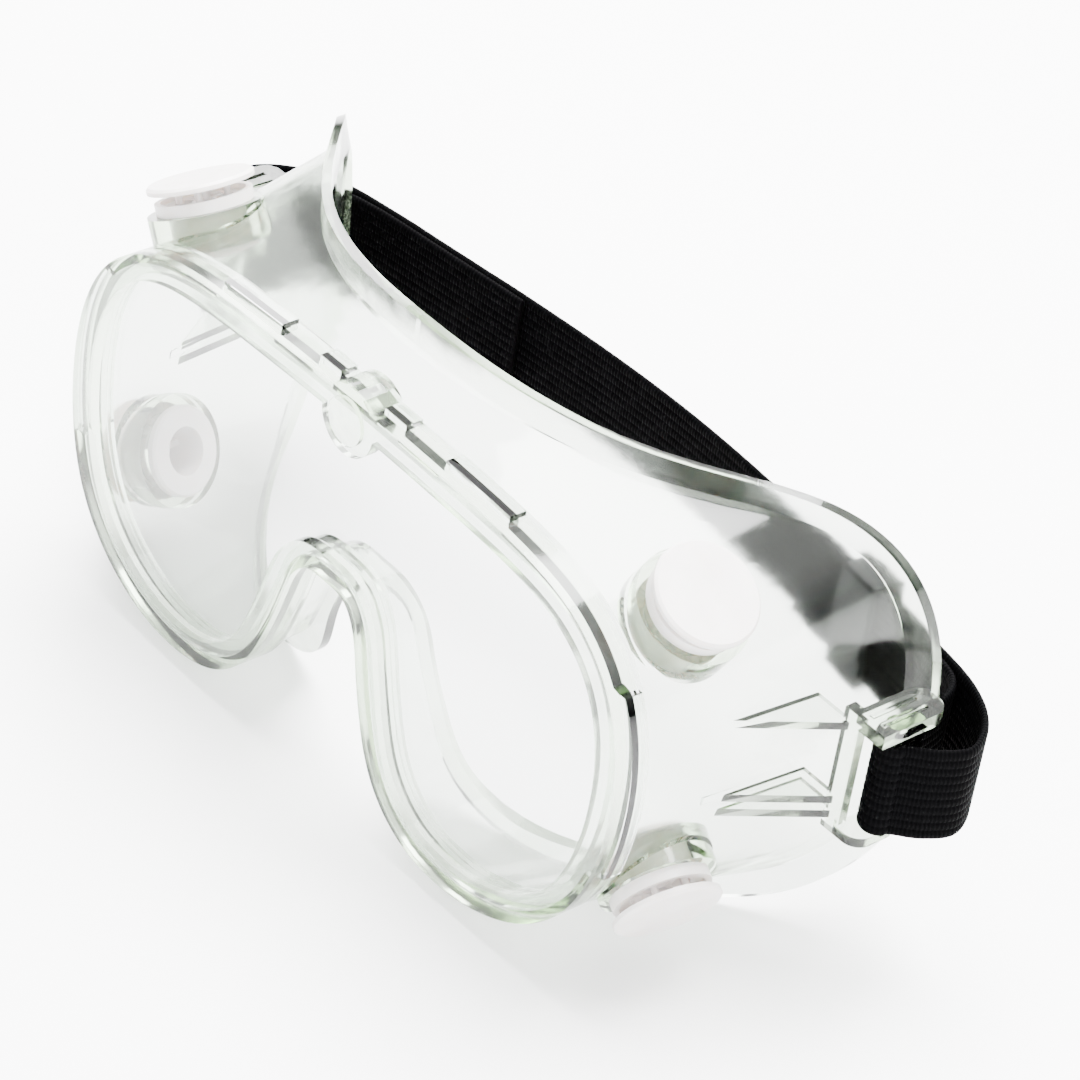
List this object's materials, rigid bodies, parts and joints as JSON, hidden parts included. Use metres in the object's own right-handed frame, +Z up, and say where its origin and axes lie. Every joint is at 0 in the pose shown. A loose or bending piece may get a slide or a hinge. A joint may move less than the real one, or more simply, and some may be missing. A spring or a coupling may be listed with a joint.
{
  "type": "safety goggles",
  "caption": "Soft clear splash goggles with a snap-in lens, push-to-close vents and a black elastic head strap.",
  "frame": {"origin": "bottom centre of the bounding box", "axes": "+X towards the wearer's left, -Y the way the wearer looks, +Z up"},
  "size_m": [0.2062, 0.0844, 0.098],
  "materials": {
    "soft_clear": "clear flexible vinyl, faint grey-green tint",
    "lens_clear": "polished clear polycarbonate",
    "vent_milky": "translucent milky plastic, semi-gloss",
    "strap_black": "black ribbed elastic webbing",
    "keeper_black": "satin black moulded plastic"
  },
  "bodies": {
    "goggles": {"frame_body": "soft_clear", "lens": "lens_clear", "head_strap": "strap_black", "vent_seat_upper_left": "vent_milky", "vent_retainer_upper_left": "vent_milky", "vent_seat_upper_right": "vent_milky", "vent_retainer_upper_right": "vent_milky", "vent_seat_lower_left": "vent_milky", "vent_retainer_lower_left": "vent_milky", "vent_seat_lower_right": "vent_milky", "vent_retainer_lower_right": "vent_milky"},
    "cap_upper_left": {"vent_cap_upper_left": "vent_milky"},
    "cap_upper_right": {"vent_cap_upper_right": "vent_milky"},
    "cap_lower_left": {"vent_cap_lower_left": "vent_milky"},
    "cap_lower_right": {"vent_cap_lower_right": "vent_milky"},
    "keeper": {"strap_keeper": "keeper_black"}
  },
  "joints": [
    {"name": "vent_push_upper_left", "type": "slide", "parent": "goggles", "child": "cap_upper_left", "axis": [-0.5, 0, -0.866], "range_m": [0, 0.00195]},
    {"name": "vent_push_upper_right", "type": "slide", "parent": "goggles", "child": "cap_upper_right", "axis": [0.5, 0, -0.866], "range_m": [0, 0.00195]},
    {"name": "vent_push_lower_left", "type": "slide", "parent": "goggles", "child": "cap_lower_left", "axis": [-0.8653, 0.2101, 0.4551], "range_m": [0, 0.00195]},
    {"name": "vent_push_lower_right", "type": "slide", "parent": "goggles", "child": "cap_lower_right", "axis": [0.8653, 0.2101, 0.4551], "range_m": [0, 0.00195]},
    {"name": "keeper_slide", "type": "slide", "parent": "goggles", "child": "keeper", "axis": [-0.9925, 0.1226, 0], "range_m": [-0.008, 0.008]}
  ]
}
